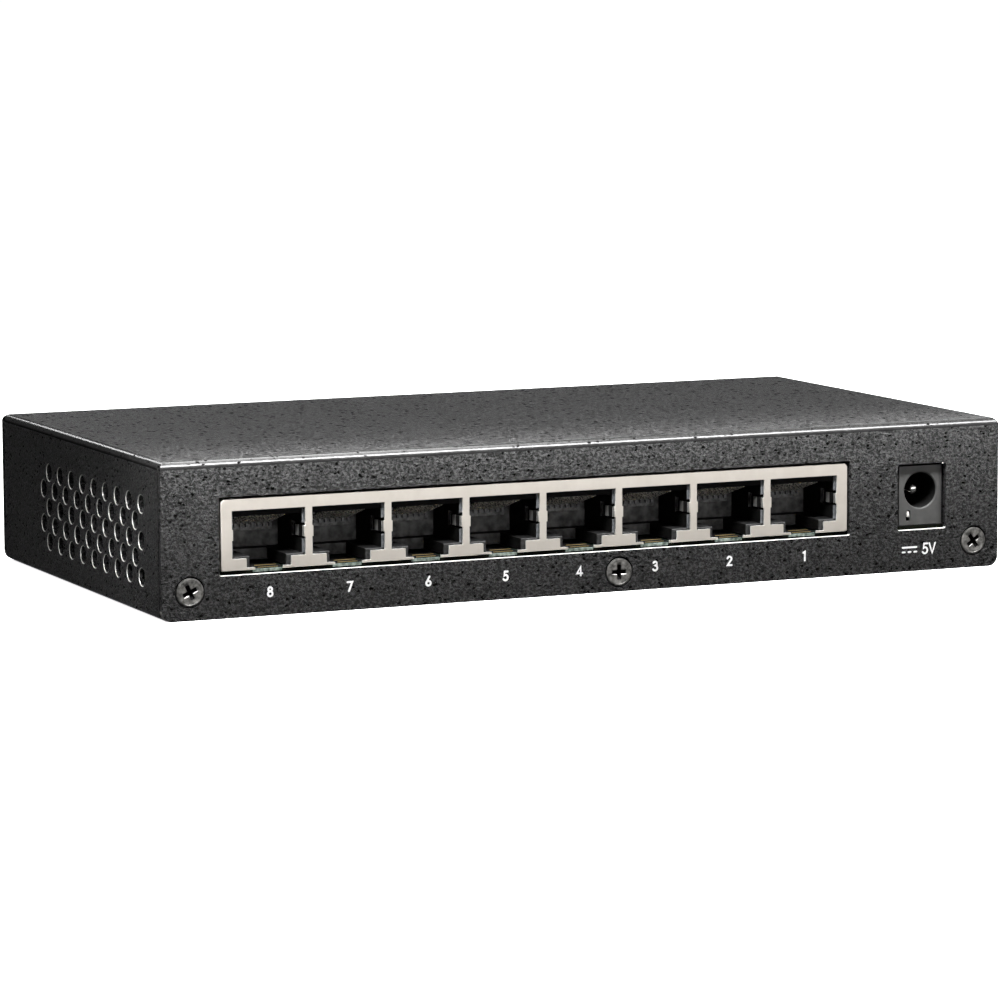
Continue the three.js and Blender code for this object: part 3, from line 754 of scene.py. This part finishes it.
def mouth_outline(centre):
    half, shoulder, notch, foot = MOUTH["half"], MOUTH["shoulder"], MOUTH["notch"], MOUTH["foot"]
    right = [(foot, 6.0), (foot, MOUTH["foot_top"]), (notch, MOUTH["foot_top"]), (notch, shoulder),
             (half, shoulder), (half, NUB["low"]), (NUB["half"], NUB["low"]), (NUB["half"], NUB["high"]),
             (half, NUB["high"]), (half, MOUTH["top"])]
    left = [(-x, z) for x, z in right[::-1]]
    return [(centre + x, z) for x, z in rounded(right + left, 0.12, 2)]


SHIELD = {"sheet": 0.3, "chamfer": 0.5, "lift": 0.2, "over_board": 0.3}
SHIELD_COATS = [SHIELD_METAL, EDGE]


def make_shield():
    sheet, chamfer = SHIELD["sheet"], SHIELD["chamfer"]
    low, high = SHIELD_LOW, SHIELD_HIGH
    foot = low.z + SHIELD["lift"]
    section = [(low.x, foot), (high.x, foot), (high.x, high.z - chamfer), (high.x - chamfer, high.z),
               (low.x + chamfer, high.z), (low.x, high.z - chamfer)]
    near, far = low.y - FRONT, high.y - FRONT
    outer = Build()
    outer.prism(rounded(section, 0.3, 3), front_plane, near, far, edge=0.16)
    shield = outer.object("shield_look", SHIELD_COATS, 0)
    tools = Build()
    inner = block((low.x + sheet, low.z - PAST), (high.x - sheet, high.z - sheet))
    tools.prism(inner, front_plane, near + sheet, far - sheet)
    cut(shield, tools, SHIELD_COATS)
    tools = Build()
    over = block((low.x - PAST, low.z - PAST), (high.x + PAST, BOARD_TOP + SHIELD["over_board"]))
    tools.prism(over, front_plane, near + sheet, far + PAST)
    cut(shield, tools, SHIELD_COATS)
    tools = Build()
    lip = 0.06
    rows = [(near - PAST, lip, 0), (near, lip, 0), (near + 0.02, 0.02, 0), (near + lip, 0.0, 1),
            (near + sheet + 0.2, 0.0, 0)]
    for x in PORT_X.values():
        tools.stack(mouth_outline(x), front_plane, rows)
    cut(shield, tools, SHIELD_COATS)
    shade(shield, 30)
    finish(shield, replaces=["jack_shield"])


HOUSING_COATS = [SHADED_JACK_PLASTIC, JACK_EDGE, BACK_PLASTIC]
WIRE_SPACE = {"half": 4.4, "front": 1.9, "back": 11.7, "top": 17.9}  # over the cavity


def make_housing():
    """One moulding with a cavity, a latch notch, finger pockets and a space for the wires for each port; the
    slotted combs are made on their own.
    """
    build = Build()
    low, high = HOUSING_LOW, HOUSING_HIGH
    near = low.y - FRONT
    build.prism(block((low.x, low.z), (high.x, high.z)), front_plane, near, high.y - FRONT)
    housing = build.object("housing_look", HOUSING_COATS, 0)
    space = WIRE_SPACE
    cuts = [
        (CAVITY["half"], -PAST, CAVITY["back"], CAVITY["shoulder"], CAVITY["ceiling"]),
        (CAVITY["latch"], -PAST, CAVITY["latch_back"], low.z - PAST, CAVITY["shoulder"] + PAST),
        (POCKET["half"], -PAST, POCKET["back"], POCKET["low"], POCKET["high"]),
        (space["half"], space["front"], space["back"], CAVITY["shoulder"] + PAST, space["top"]),
    ]
    lip = 0.14
    for half, front, back, bottom, top in cuts:
        rows = [(front, 0.0, 0), (back, 0.0, 0)]
        if front < 0:
            rows = [(near - PAST, lip, 0), (near - 0.001, lip, 1), (near + 0.04, 0.4 * lip, 1),
                    (near + lip, 0.0, 0), (back, 0.0, 0)]
        tools = Build()
        for x in PORT_X.values():
            outline = rounded(block((x - half, bottom), (x + half, top)), 0.15, 2)
            tools.stack(outline, front_plane, rows)
        cut(housing, tools, HOUSING_COATS)
    # The lips at the cavity ceiling go back to the near-black plastic as painted shade, the front faces take
    # the jack's front finish, and deeper front-facing faces a lighter plastic.
    for face in housing.data.polygons:
        if face.center.z > CAVITY["ceiling"] * MM and face.center.y < (low.y + lip) * MM:
            face.material_index = 0
        elif face.normal.y < -0.9:
            face.material_index = 1 if face.center.y < (low.y + 0.01) * MM else 2
    shade(housing, 25)
    finish(housing, replaces=["jack_housing"])


COMB = {"half": 4.6, "low": 12.7, "high": 13.75, "front": 10.95}
RIB = {"half": 0.2, "low": 13.3, "high": 17.3, "front": 10.4}
BEAM = {"half": 6.0, "low": 16.45, "high": 17.3, "front": 0.98, "back": 1.75}


def make_comb(number):
    """The slotted wall that keeps a port's wires apart, and the beam over its mouth."""
    centre = PORT_X[number]
    build = Build()
    back = CAVITY["back"] + 0.02
    build.prism(rounded(block_at(centre, COMB), 0.1, 2), front_plane, COMB["front"], back, edge=0.1)
    for i in range(WIRE["count"] + 1):
        x = centre + (i - WIRE["count"] / 2) * WIRE["pitch"]
        build.prism(block_at(x, RIB), front_plane, RIB["front"], back, edge=0.08, steps=2)
    # painted shade: the beam over the mouth is near black
    build.prism(block_at(centre, BEAM), front_plane, BEAM["front"], BEAM["back"], edge=0.12, steps=2, kind=1)
    finish(build.object(f"comb_{number}", [COMB_PLASTIC, PAINTED_SHADE_BLACK], 30))


def sweep(build, path, radius, sides=10):
    """A round wire along a path of points."""
    points = [Vector(p) for p in path]
    rings = []
    for i, point in enumerate(points):
        before = points[max(i - 1, 0)]
        after = points[min(i + 1, len(points) - 1)]
        along = (after - before).normalized()
        across = Vector((1, 0, 0))
        up = along.cross(across).normalized()
        rings.append([point + across * u + up * v for u, v in arc((0, 0), radius, 0, 360, sides)[:-1]])
    build.loft(rings)


def wire_path(x):
    """The sprung part: round the fold, down the slope and out into the comb's slot."""
    slope = math.degrees(math.atan2(WIRE_TIP[1] - WIRE_FOLD[1], WIRE_TIP[0] - WIRE_FOLD[0]))
    centre = (WIRE_FOLD[0] + 0.25, WIRE_FOLD[1] + 0.25)
    points = arc(centre, WIRE["bend"], 90, 270 + slope, 6)
    points += [WIRE_TIP, (WIRE_TIP[0] + 0.6, WIRE_TIP[1] - 0.05)]
    return [front_plane(x, z, y) for y, z in points]


def make_contacts(number):
    moving, fixed = Build(), Build()
    for i in range(WIRE["count"]):
        x = PORT_X[number] + (i - (WIRE["count"] - 1) / 2) * WIRE["pitch"]
        path = wire_path(x)
        sweep(moving, path, WIRE["radius"])
        sweep(fixed, [path[0], front_plane(x, path[0][2], WIRE["leg_end"])], WIRE["radius"])
    node = f"contacts_{number}"
    finish(moving.object(node + "_look", [GOLD], 50), node, [node])
    finish(fixed.object(f"contact_legs_{number}", [GOLD], 50), "root")


FINGER_HALF_THICK = 0.11
# Aside of the port's middle, and behind the port face.
FINGER_PATH = [(6.15, 0.9), (5.95, 2.0), (5.76, 3.0), (5.76, 3.4), (5.93, 4.1), (6.1, 4.75)]
# Which bands of the strip are painted near black as painted shade (1) and which are bare metal (0).
FINGER_SHADE_BANDS = [1, 0, 1, 1, 0]


def make_finger(number, name, side):
    """A grounding finger: a bent strip with bright and dark bands across it, the dark bands painted near
    black in the jack's plastic as painted shade.
    """
    node = f"ground_finger_{number}_{name}"
    low, high = box_mm(node)
    build = Build()
    half = (high.z - low.z) / 2
    section = rounded(block((-FINGER_HALF_THICK, -half), (FINGER_HALF_THICK, half)), 0.08, 2)
    rings = []
    for x, y in FINGER_PATH:
        rings.append([(PORT_X[number] + side * (x + u), FRONT + y, low.z + half + v) for u, v in section])
    build.loft(rings, FINGER_SHADE_BANDS)
    finish(build.object(node + "_look", [FINGER_METAL, SHADED_JACK_PLASTIC], 40), node, [node])


STRIP_ROWS = ({"near": 1.8, "half": 1.75, "height": 0.05}, {"near": 3.0, "half": 1.9, "height": 0.22})
STRIP = {"width": 0.2, "thick": 0.06, "aside": 0.35}
# The near-black sheets of painted shade laid on the board under each notch: half width, depths behind the
# port face, thickness.
SHADE_SHEET = {"half": 3.1, "near": 1.32, "far": 9.4, "thick": 0.04}
LIP = {"half": 2.5, "low": 7.2, "near": 1.0, "far": 1.29}


def make_board_sights():
    """What shows of the board through the notches: two thin gold strips on a near-black sheet of painted
    shade, and its bare edge.
    """
    top = BOARD_TOP
    near_mask, far_mask = FRONT + SHADE_SHEET["near"], FRONT + SHADE_SHEET["far"]
    strips, shade_sheets, lips = Build(), Build(), Build()
    for x in PORT_X.values():
        for row in STRIP_ROWS:
            left = x + STRIP["aside"] - row["half"]
            near = FRONT + row["near"]
            base = top + row["height"]
            strip = block((left, near), (left + 2 * row["half"], near + STRIP["width"]))
            strips.prism(strip, flat_plane, base, base + STRIP["thick"])
        notch = block((x - SHADE_SHEET["half"], near_mask), (x + SHADE_SHEET["half"], far_mask))
        shade_sheets.prism(notch, flat_plane, top, top + SHADE_SHEET["thick"])
        lip = block((x - LIP["half"], LIP["low"]), (x + LIP["half"], top - 0.05))
        lips.prism(lip, front_plane, LIP["near"], LIP["far"], edge=0.05, steps=2)
    finish(strips.object("ground_strips", [GOLD_STRIP], 0))
    # painted shade: a near-black sheet also lies on the board under the inlet
    under_inlet = block((INLET_LOW.x - 1, INLET_LOW.y), (INLET_HIGH.x + 1, INLET_LOW.y + 3))
    shade_sheets.prism(under_inlet, flat_plane, top, top + SHADE_SHEET["thick"])
    finish(shade_sheets.object("board_shade_sheet", [PAINTED_SHADE_BLACK], 0))
    finish(lips.object("board_lips", [LAMINATE], 30))


# ---- Power inlet ----

# The second coat is near black, for painted shade in the bore, the leaf's channel and beside the body.
INLET_COATS = [BLACK_PLASTIC, PAINTED_SHADE_BLACK]
BORE = {"radius": 3.08, "depth": 9.5, "lip": 0.22}
CHANNEL = {"half": 0.65, "low": 8.5, "high": 12.9, "front": 1.9, "back": 12.6}  # the leaf's space
SLIT = {"half": 0.45, "low": 8.6, "high": 10.55, "front": 0.2, "back": 2.9}  # where its tip shows


def make_inlet():
    low, high = INLET_LOW, INLET_HIGH
    near = low.y - FRONT
    centre = middle("dc_jack_pin")
    build = Build()
    bottom = BOARD_TOP + 0.12
    face = block((low.x, bottom), (high.x, high.z))
    build.prism(face, front_plane, near, high.y - FRONT, edge=0.12)
    # painted shade: near-black blocks beside the body give black lines at its sides
    for left, right in ((low.x - 0.8, low.x + 1), (high.x - 1, high.x + 0.75)):
        build.prism(block((left, bottom), (right, high.z)), front_plane, near + 0.3, near + 9, kind=1)
    body = build.object("inlet_look", INLET_COATS, 0)
    tools = Build()
    radius, lip = BORE["radius"], BORE["lip"]
    rows = [(near - PAST, radius + lip), (near - 0.001, radius + lip), (near + 0.06, radius + 0.45 * lip),
            (near + lip, radius), (near + BORE["depth"], radius)]
    # painted shade: the bore's deep wall and its bottom are near black
    round_hole(tools, centre, rows, 64, [0, 0, 0, 1], 1)
    cut(body, tools, INLET_COATS)
    leaf = middle("dc_jack_spring")
    tools = Build()
    tools.prism(block_at(leaf.x, CHANNEL), front_plane, CHANNEL["front"], CHANNEL["back"])
    # painted shade: the leaf's channel is near black
    cut(body, tools, [PAINTED_SHADE_BLACK])
    tools = Build()
    tools.prism(rounded(block_at(leaf.x, SLIT), 0.4, 4), front_plane, SLIT["front"], SLIT["back"])
    cut(body, tools, [BLACK_PLASTIC])
    shade(body, 25)
    finish(body, replaces=["dc_jack_housing"])


def make_pin():
    low, high = box_mm("dc_jack_pin")
    centre = middle("dc_jack_pin")
    radius = (high.x - low.x) / 2
    rounding = [(0.01, 0.0), (0.35, 0.02), (0.62, 0.12), (0.85, 0.34)]
    profile = rounding + [(radius, 0.7), (radius, high.y - low.y)]
    build = Build()
    build.lathe(profile, (centre.x, low.y, centre.z), 40)
    finish(build.object("inlet_pin_look", [PIN_METAL], 40), replaces=["dc_jack_pin"])


LEAF_HALF_THICK = 0.13
# Behind the port face, and height.
LEAF_PATH = [(12.0, 10.4), (9.4, 11.7), (7.4, 12.3), (6.3, 12.35), (5.2, 11.8), (3.4, 10.7), (2.5, 10.0)]
# The slanted pad at the tip: aside of the leaf's middle, and height.
LEAF_PAD = [(-0.2, 9.3), (0.38, 9.25), (0.3, 10.35), (-0.38, 10.45)]
LEAF_PAD_DEPTHS = (1.42, 2.6)


def make_leaf():
    low, high = box_mm("dc_jack_spring")
    build = Build()
    rings = []
    points = [Vector(p) for p in LEAF_PATH]
    for i, point in enumerate(points):
        along = (points[min(i + 1, len(points) - 1)] - points[max(i - 1, 0)]).normalized()
        normal = Vector((-along.y, along.x)) * LEAF_HALF_THICK
        upper, lower = point + normal, point - normal
        rings.append([front_plane(x, side.y, side.x)
                      for x, side in ((low.x, upper), (high.x, upper), (high.x, lower), (low.x, lower))])
    build.loft(rings)
    middle_x = (low.x + high.x) / 2
    pad = rounded([(middle_x + x, z) for x, z in LEAF_PAD], 0.3, 4)
    build.prism(pad, front_plane, *LEAF_PAD_DEPTHS, edge=0.2, steps=5)
    leaf = build.object("inlet_spring_look", [SPRING_METAL], 40)
    finish(leaf, "dc_jack_spring", ["dc_jack_spring"])


# ---- Printed numerals ----

def ellipse(centre, half_x, half_y, start, end, steps=18):
    return [(centre[0] + half_x * u, centre[1] + half_y * v) for u, v in arc((0, 0), 1, start, end, steps)]


def numeral_strokes():
    """Strokes of each character in a box about 0.62 wide and 1 high; a closed stroke ends where it starts."""
    ring_top = ellipse((0.31, 0.755), 0.20, 0.195, 90, 450)
    ring_low = ellipse((0.31, 0.29), 0.245, 0.24, 90, 450)
    return {
        "8": [ring_top, ring_low],
        "7": [[(0.05, 0.95), (0.57, 0.95), (0.2, 0.03)]],
        "6": [ring_low, [(0.42, 0.97), (0.115, 0.41)]],
        "5": [[(0.52, 0.95), (0.19, 0.95), (0.13, 0.55)] + ellipse((0.27, 0.33), 0.26, 0.28, 115, -150, 16)],
        "4": [[(0.62, 0.26), (0.04, 0.26), (0.46, 0.95), (0.46, 0.03)]],
        "3": [ellipse((0.28, 0.745), 0.205, 0.205, 150, -80, 14)
              + ellipse((0.27, 0.285), 0.26, 0.255, 85, -150, 16)],
        "2": [ellipse((0.3, 0.72), 0.235, 0.235, 165, -30, 14) + [(0.07, 0.05), (0.56, 0.05)]],
        "1": [[(0.18, 0.84), (0.36, 0.95), (0.36, 0.03)]],
        "V": [[(0.02, 0.96), (0.32, 0.05), (0.62, 0.96)]],
    }


def ribbon(points, width):
    """The two sides of a stroke, and whether it is a closed one."""
    line = [Vector(p) for p in points]
    closed = (line[0] - line[-1]).length < 1e-6
    if closed:
        line = line[:-1]
    count = len(line)
    left, right = [], []
    for i, point in enumerate(line):
        before = line[i - 1] if closed or i else point
        after = line[(i + 1) % count] if closed or i < count - 1 else point
        first = (point - before).normalized() if before is not point else (after - point).normalized()
        second = (after - point).normalized() if after is not point else first
        along = (first + second).normalized()
        normal = Vector((-along.y, along.x))
        reach = width / 2 / max(along.dot(first), 0.55)
        left.append(point + normal * reach)
        right.append(point - normal * reach)
    return left, right, closed


def add_stroke(build, points, width, plane, near, far):
    left, right, closed = ribbon(points, width)
    if closed:
        sides = ((left, near), (right, near), (right, far), (left, far))
        build.loft([[plane(p.x, p.y, depth) for p in side] for side, depth in sides], looped=True)
        return
    first = Vector(points[0])
    last = Vector(points[-1])
    start_angle = math.degrees(math.atan2(*(left[0] - first).yx))
    end_angle = math.degrees(math.atan2(*(right[-1] - last).yx))
    start_cap = arc(first, width / 2, start_angle + 180, start_angle, 8)[1:-1]
    end_cap = arc(last, width / 2, end_angle + 180, end_angle, 8)[1:-1]
    outline = [tuple(p) for p in left] + end_cap + [tuple(p) for p in right[::-1]] + start_cap
    build.prism(outline, plane, near, far)


def write(build, character, corner, height, width, plane, mirror=1):
    """Puts one character on a face, with its lower left corner at a place."""
    for k, stroke in enumerate(numeral_strokes()[character]):
        points = [(corner[0] + mirror * x * height, corner[1] + y * height) for x, y in stroke]
        add_stroke(build, points, width, plane, INK_FACE - 0.002 * k, INK_BACK)


INK_FACE = SKIN - 0.014
INK_BACK = SKIN + 0.01
HALF_WIDTH = 0.31  # of a character, as a share of its height
PORT_NUMERALS = {"height": 1.62, "stroke": 0.33, "middle": 3.95}
NUMERAL_SHIFT = {4: -0.5, 3: -0.35, 2: -0.35}  # these stand a little aside of the middle of their port


def make_port_numerals():
    height, stroke = PORT_NUMERALS["height"], PORT_NUMERALS["stroke"]
    low = PORT_NUMERALS["middle"] - height / 2
    build = Build()
    for number, x in PORT_X.items():
        left = x - HALF_WIDTH * height + NUMERAL_SHIFT.get(number, 0.0)
        write(build, str(number), (left, low), height, stroke, front_plane)
    finish(build.object("port_numerals", [INK], 0))


def make_inlet_marking():
    """The direct-current sign, a line over three dashes, and the inlet's voltage."""
    height, stroke = 1.9, 0.31
    build = Build()
    left, low = INLET_LOW.x + 0.1, 2.9
    dash, pitch = 0.42, 1.14
    strokes = [(left, left + 2 * pitch + dash, low + 1.3)]
    strokes += [(left + pitch * i, left + pitch * i + dash, low + 0.5) for i in range(3)]
    for start, end, z in strokes:
        add_stroke(build, [(start, z), (end, z)], stroke, front_plane, INK_FACE, INK_BACK)
    write(build, "5", (left + 3.85, low), height, stroke, front_plane)
    write(build, "V", (left + 5.2, low), height, stroke, front_plane)
    finish(build.object("inlet_marking", [INK], 0))


def make_lamp_numerals():
    height, stroke = 1.95, 0.34
    build = Build()
    for number, x in enumerate(LAMP_X[:-1], 1):
        write(build, str(number), (x + HALF_WIDTH * height, LAMP_Z - 5), height, stroke, back_plane, -1)
    x, z = LAMP_X[-1], LAMP_Z - 4
    add_stroke(build, arc((x, z), 0.85, 55, -235, 20), stroke, back_plane, INK_FACE, INK_BACK)
    add_stroke(build, [(x, z + 0.2), (x, z + 1.1)], stroke, back_plane, INK_FACE - 0.002, INK_BACK)
    finish(build.object("lamp_numerals", [INK], 0))


# ---- Light pipe and board ----

BAR = {"low": 10.2, "high": 15, "front": 3.6, "back": 6.4}  # depths from the LED face
FOOT = {"width": 2.4, "high": 11}
# Radius of a lens, and how deep it is there.
LENS_PROFILE = [(0.01, 0.1), (0.7, 0.16), (1.05, 0.36), (1.2, 0.75), (1.2, 4.2)]


def make_light_pipe():
    low, high = box_mm("light_pipe")
    build = Build()
    bar = rounded(block((low.x, BAR["low"]), (high.x, BAR["high"])), 0.4, 3)
    build.prism(bar, back_plane, BAR["front"], BAR["back"], edge=0.2, far_edge=0.2)
    pipe = build.object("light_pipe_look", [CLEAR], 0)
    tools = Build()
    for x in LAMP_X:
        tools.lathe([(radius, BACK - depth) for radius, depth in LENS_PROFILE], (x, 0, LAMP_Z), 32)
    for left in (low.x, high.x - FOOT["width"]):
        foot = block((left, low.z), (left + FOOT["width"], FOOT["high"]))
        tools.prism(foot, back_plane, BAR["front"], BAR["back"])
    combine(pipe, "UNION", tools.object("lenses", [CLEAR], 0))
    shade(pipe, 30)
    finish(pipe, replaces=["light_pipe"])


def paint_carried_nodes():
    """Inner pieces keep their CAD shape and take a finish of their own."""
    finishes = {"base_plate": ZINC, "circuit_board": BOARD, "thermal_pad": PAD, "heat_sink": ALUMINIUM,
                "switch_chip": CHIP_PLASTIC, "flash_chip": CHIP_PLASTIC, "regulator": CHIP_PLASTIC,
                "crystal": CAN, "capacitor_1": CAN, "capacitor_2": CAN, "inductor": FERRITE}
    for i in range(1, 5):
        finishes[f"board_screw_{i}"] = ZINC
        finishes[f"magnetics_{i}"] = CHIP_PLASTIC
    for name, material in finishes.items():
        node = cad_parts[name]
        node.data.materials.clear()
        node.data.materials.append(material)


# ---- Studio ----

def make_floor():
    size = 60.0
    mesh = bpy.data.meshes.new("floor")
    corners = [(x, y, 0) for x, y in block((-size, -size), (size, size))]
    mesh.from_pydata(corners, [], [(0, 1, 2, 3)])
    mesh.materials.append(studio_white())
    floor = bpy.data.objects.new("floor", mesh)
    scene.collection.objects.link(floor)
    floor.visible_diffuse = False
    floor.visible_glossy = False
    floor.visible_shadow = False


def make_world():
    """White behind the object, and a dim even light on it."""
    scene.view_settings.view_transform = "Standard"
    scene.world = bpy.data.worlds.new("studio")
    scene.world.use_nodes = True
    tree = scene.world.node_tree
    dim = tree.nodes["Background"]
    white = tree.nodes.new("ShaderNodeBackground")
    for background, strength in ((dim, 0.075), (white, 1.0)):
        background.inputs["Color"].default_value = (1, 1, 1, 1)
        background.inputs["Strength"].default_value = strength
    mix = tree.nodes.new("ShaderNodeMixShader")
    path = tree.nodes.new("ShaderNodeLightPath")
    tree.links.new(path.outputs["Is Camera Ray"], mix.inputs["Fac"])
    tree.links.new(dim.outputs[0], mix.inputs[1])
    tree.links.new(white.outputs[0], mix.inputs[2])
    tree.links.new(mix.outputs[0], tree.nodes["World Output"].inputs["Surface"])


def add_light(name, place, target, size, radiance, colour=(1, 1, 1), spread=180):
    """A soft box of an even radiance, facing the target."""
    data = bpy.data.lights.new(name, "AREA")
    data.shape = "RECTANGLE"
    data.size, data.size_y = size
    data.energy = radiance * math.pi * size[0] * size[1]
    data.color = colour
    data.spread = math.radians(spread)
    light = bpy.data.objects.new(name, data)
    scene.collection.objects.link(light)
    light.location = place
    light.rotation_euler = (Vector(target) - Vector(place)).to_track_quat("-Z", "Y").to_euler()
    light.visible_camera = False


FACE_Y = FRONT * MM
# Name, place, target, size and radiance, and then colour and spread where they aren't the usual.
LIGHTS = [
    ("overhead", (0.05, 0.22, 0.60), (0.05, 0.22, 0), (0.45, 0.80), 11.6),
    ("near_strip", (0, FACE_Y - 0.012, 0.043), (0, FACE_Y, 0.028), (0.22, 0.008), 29, (1, 1, 1), 84),
    ("front", (0.20, -0.42, 0.03), (0.20, 0, 0.03), (0.64, 0.15), 1.3, (1.0, 0.985, 0.96)),
    ("upper_face", (0, FACE_Y - 0.06, 0.0245), (0, 0, 0.0245), (0.40, 0.030), 0.13, (1, 1, 1), 8),
    ("back", (0, 0.80, 0.33), (0, 0, 0), (0.25, 0.06), 8),
    ("back_right", (0.75, 0.7, 0.45), (0, 0, 0.01), (0.5, 0.4), 0.8),
]

make_camera()
make_cover()
for screw_name in SCREWS:
    make_screw(screw_name)
make_shield()
make_housing()
for port in PORT_NUMBERS:
    make_comb(port)
    make_contacts(port)
    make_finger(port, "left", -1)
    make_finger(port, "right", 1)
make_board_sights()
make_inlet()
make_pin()
make_leaf()
make_port_numerals()
make_inlet_marking()
make_lamp_numerals()
make_light_pipe()
paint_carried_nodes()
make_floor()
make_world()
for light in LIGHTS:
    add_light(*light)
